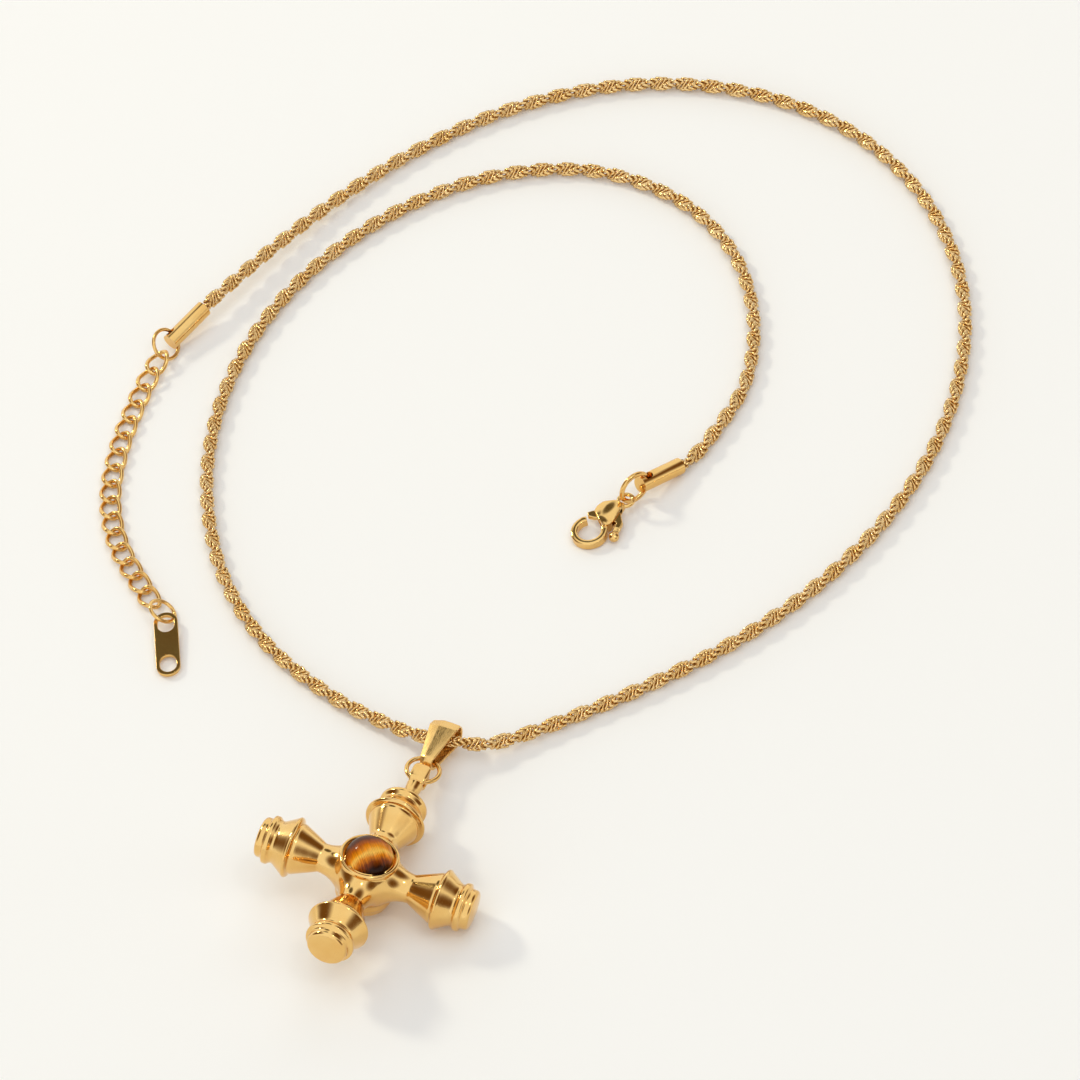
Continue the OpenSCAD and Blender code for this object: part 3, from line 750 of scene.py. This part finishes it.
# The strap's section at each place along the outline, as (across, depth): from the left, the wide bevel, the
# crowned front and the thin bevel, and then the inner side. The front's forms fade out on the back.
def bailSections(line):
    grow = np.clip(line[:, 0] / bail["length"], -0.2, 1.0)
    half = bail["footHalf"] + (bail["headHalf"] - bail["footHalf"]) * grow
    half = half - bail["headTaper"] * np.clip(line[:, 0] - bail["length"], 0, 2)
    front = np.clip((line[:, 1] + 0.2) / 0.9, 0, 1)
    none, thin, wall = 0 * half, bail["thinBevel"] + 0 * half, bail["wall"] + 0 * half
    wide = thin + front * (2 * half * bail["bevel"] - thin)
    drop = thin + front * (bail["bevelDrop"] - thin)
    corners = [(-half, drop), (-half + wide, none), (0.35 * half, front * 0.05), (half - thin, front * 0.15),
               (half, front * 0.12 + thin), (half, wall - 0.5 * thin), (half - thin, wall),
               (-half + thin, wall), (-half, wall - 0.6 * thin)]
    section = np.array(corners).transpose(2, 0, 1)
    nextOne = np.roll(section, -1, axis=1)
    cut = bail["softness"]
    soft = np.stack([(1 - cut) * section + cut * nextOne, cut * section + (1 - cut) * nextOne], 2)
    return soft.reshape(len(line), -1, 2)


# A strap carried round the outline, in the cross's own frame until the last turn.
def bailShell():
    line = evenLoop(softLoop(bailOutline(), 0.1), bail["count"])
    ahead = unit(np.roll(line, -1, axis=0) - np.roll(line, 1, axis=0))
    inward = np.stack([ahead[:, 1], -ahead[:, 0]], 1)
    inward *= -np.sign(np.sum(inward * (line - [bail["length"] / 2, 0]), 1))[:, None]
    section = bailSections(line)
    flat = line[:, None] + inward[:, None] * section[:, :, 1:]
    points = np.concatenate([section[:, :, :1], flat], 2).reshape(-1, 3)
    points = bent(points, [bail["pitch"], 0, bail["yaw"]])
    points = place(points, bail["foot"], [0, bail["roll"], 0])
    points = place(points, cross["at"], cross["turn"])
    return outward(points, gridFaces(len(line), section.shape[1], True, True))


addPiece("bail_loop", [bailShell()], bailGold, ["bail"])


# Solid metal parts
clasp = {
    "at": [10.69, 3.69, 0.57], "turn": [0, 5.4, -127.4],
    "slotTop": 1.16, "slotBottom": 0.44, "thick": 1.6,
    "middle": [3.0, -0.45], "reach": [2.3, 1.5], "crown": 0.3,  # of the pillow on each side plate
    "platesEnd": 5.0, "hookFrom": 4.6,  # the plates' crown fades out past here, and the hook's begins
    "hook": [6.35, -1.0], "hookMiddle": 1.85, "hookHalf": 0.4, "hookTop": 1.35, "hookCrown": 0.08,
    "tab": [5.75, 2.05], "tabReach": 0.62, "tabEnd": 1.2, "tabCrown": 0.3,
    "rivet": [3.0, -0.4], "rivetReach": 0.5,
    "voxel": 0.055, "smoothing": 6,
}


# A copy of some solids with their doubles merged, riding where they do and standing for them.
def copyOf(nodes, name, material, body):
    mesh = bpy.data.meshes.new(name)
    shell = bmesh.new()
    for node in nodes:
        shell.from_mesh(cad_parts[node].data)
    bmesh.ops.remove_doubles(shell, verts=shell.verts, dist=0.002 * mm)
    shell.to_mesh(mesh)
    shell.free()
    return dress(name, mesh, material, nodes, body)


tumbled = {
    "bevel": 0.06, "segments": 3,  # of a rounded edge
    "sharpFrom": 28.0,  # degrees between two faces
    "flatTo": 1.0,      # faces that turn less than this are joined first
}


# Sharp edges are rounded, as tumbling leaves them.
def softened(node, name):
    piece = copyOf([node], name, castGold, "root")
    flatTo = math.radians(tumbled["flatTo"])
    shell = bmesh.new()
    shell.from_mesh(piece.data)
    bmesh.ops.dissolve_limit(shell, angle_limit=flatTo, verts=shell.verts, edges=shell.edges)
    shell.to_mesh(piece.data)
    shell.free()
    bevel = piece.modifiers.new("bevel", "BEVEL")
    bevel.width, bevel.segments = tumbled["bevel"] * mm, tumbled["segments"]
    bevel.limit_method, bevel.angle_limit = "ANGLE", math.radians(tumbled["sharpFrom"])
    flats = piece.modifiers.new("flat faces", "WEIGHTED_NORMAL")
    flats.weight = 100


# Crowned faces: the side plates fall by crown times the square of the distance from the plate's middle, with
# the slot's own faces left in place, the hook's band by the square of the distance from its middle circle,
# and the thumb tab by the square of the distance from its own middle. The first value is the body's, the
# second the lever's.
def crownClasp(local):
    x, y, z = local.T
    (mx, my), (rx, ry) = clasp["middle"], clasp["reach"]
    out = np.minimum(1, ((x - mx) / rx) ** 2 + ((y - my) / ry) ** 2) * np.clip(clasp["platesEnd"] - x, 0, 1)
    plate = clasp["thick"] - clasp["slotTop"]
    top = np.clip((z - clasp["slotTop"]) / plate, 0, 1)
    bottom = np.clip((clasp["slotBottom"] - z) / plate, 0, 1)
    plates = clasp["crown"] * out * (top - bottom)
    middle = clasp["thick"] / 2
    level = np.clip(np.abs(z - middle) / (clasp["hookTop"] - middle), 0, 1) * np.sign(z - middle)
    band = (np.hypot(x - clasp["hook"][0], y - clasp["hook"][1]) - clasp["hookMiddle"]) / clasp["hookHalf"]
    hook = clasp["hookCrown"] * np.minimum(1, band ** 2) * level * np.clip(x - clasp["hookFrom"], 0, 1)
    fromTab = np.hypot(x - clasp["tab"][0], y - clasp["tab"][1])
    onTab = np.minimum(1, 3 * np.clip(clasp["tabEnd"] - fromTab, 0, 1))
    tab = clasp["tabCrown"] * np.minimum(1, (fromTab / clasp["tabReach"]) ** 2) * level * onTab
    return plates + hook, tab


# Each point moves half way to the middle of its neighbours along the mesh's edges, some times over.
def smoothed(local, mesh):
    edges = np.empty(2 * len(mesh.edges), int)
    mesh.edges.foreach_get("vertices", edges)
    one, two = edges.reshape(-1, 2).T
    n = len(local)
    count = np.bincount(np.concatenate([one, two]), minlength=n)[:, None]
    for k in range(clasp["smoothing"]):
        total = [np.bincount(one, local[two, i], n) + np.bincount(two, local[one, i], n) for i in range(3)]
        local = 0.5 * local + 0.5 * np.stack(total, 1) / count
    return local


# A cast part: the solid in small even faces, smoothed as by casting and tumbling, then crowned.
def castPart(nodes, name, body="root"):
    piece = copyOf(nodes, name, castGold, body)
    remesh = piece.modifiers.new("even faces", "REMESH")
    remesh.mode, remesh.voxel_size, remesh.use_smooth_shade = "VOXEL", clasp["voxel"] * mm, True
    even = bpy.data.meshes.new_from_object(piece.evaluated_get(bpy.context.evaluated_depsgraph_get()))
    piece.modifiers.clear()
    points = np.empty(3 * len(even.vertices))
    even.vertices.foreach_get("co", points)
    turn = turnMatrix(clasp["turn"])
    local = (points.reshape(-1, 3) / mm - lay - clasp["at"]) @ turn
    if "clasp_rivet" in nodes:  # the rivet's ends are peened flush
        fromRivet = np.hypot(local[:, 0] - clasp["rivet"][0], local[:, 1] - clasp["rivet"][1])
        near = fromRivet < clasp["rivetReach"]
        local[near, 2] = np.clip(local[near, 2], 0, clasp["thick"])
    local = smoothed(local, even)
    bodyCrown, leverCrown = crownClasp(local)
    local[:, 2] -= leverCrown if body == "lever" else bodyCrown
    even.vertices.foreach_set("co", ((local @ turn.T + clasp["at"] + lay) * mm).ravel())
    even.materials.clear()
    even.materials.append(castGold)
    even.polygons.foreach_set("use_smooth", np.ones(len(even.polygons), bool))
    piece.data = even
    print("cast:", name, len(even.polygons), "faces")


softened("extender_tube", "extender_end_tube")
softened("clasp_tube", "clasp_end_tube")
softened("tag", "tag_plate")
castPart(["clasp_body", "clasp_rivet"], "clasp_hook_body")
castPart(["clasp_lever"], "clasp_thumb_lever", body="lever")
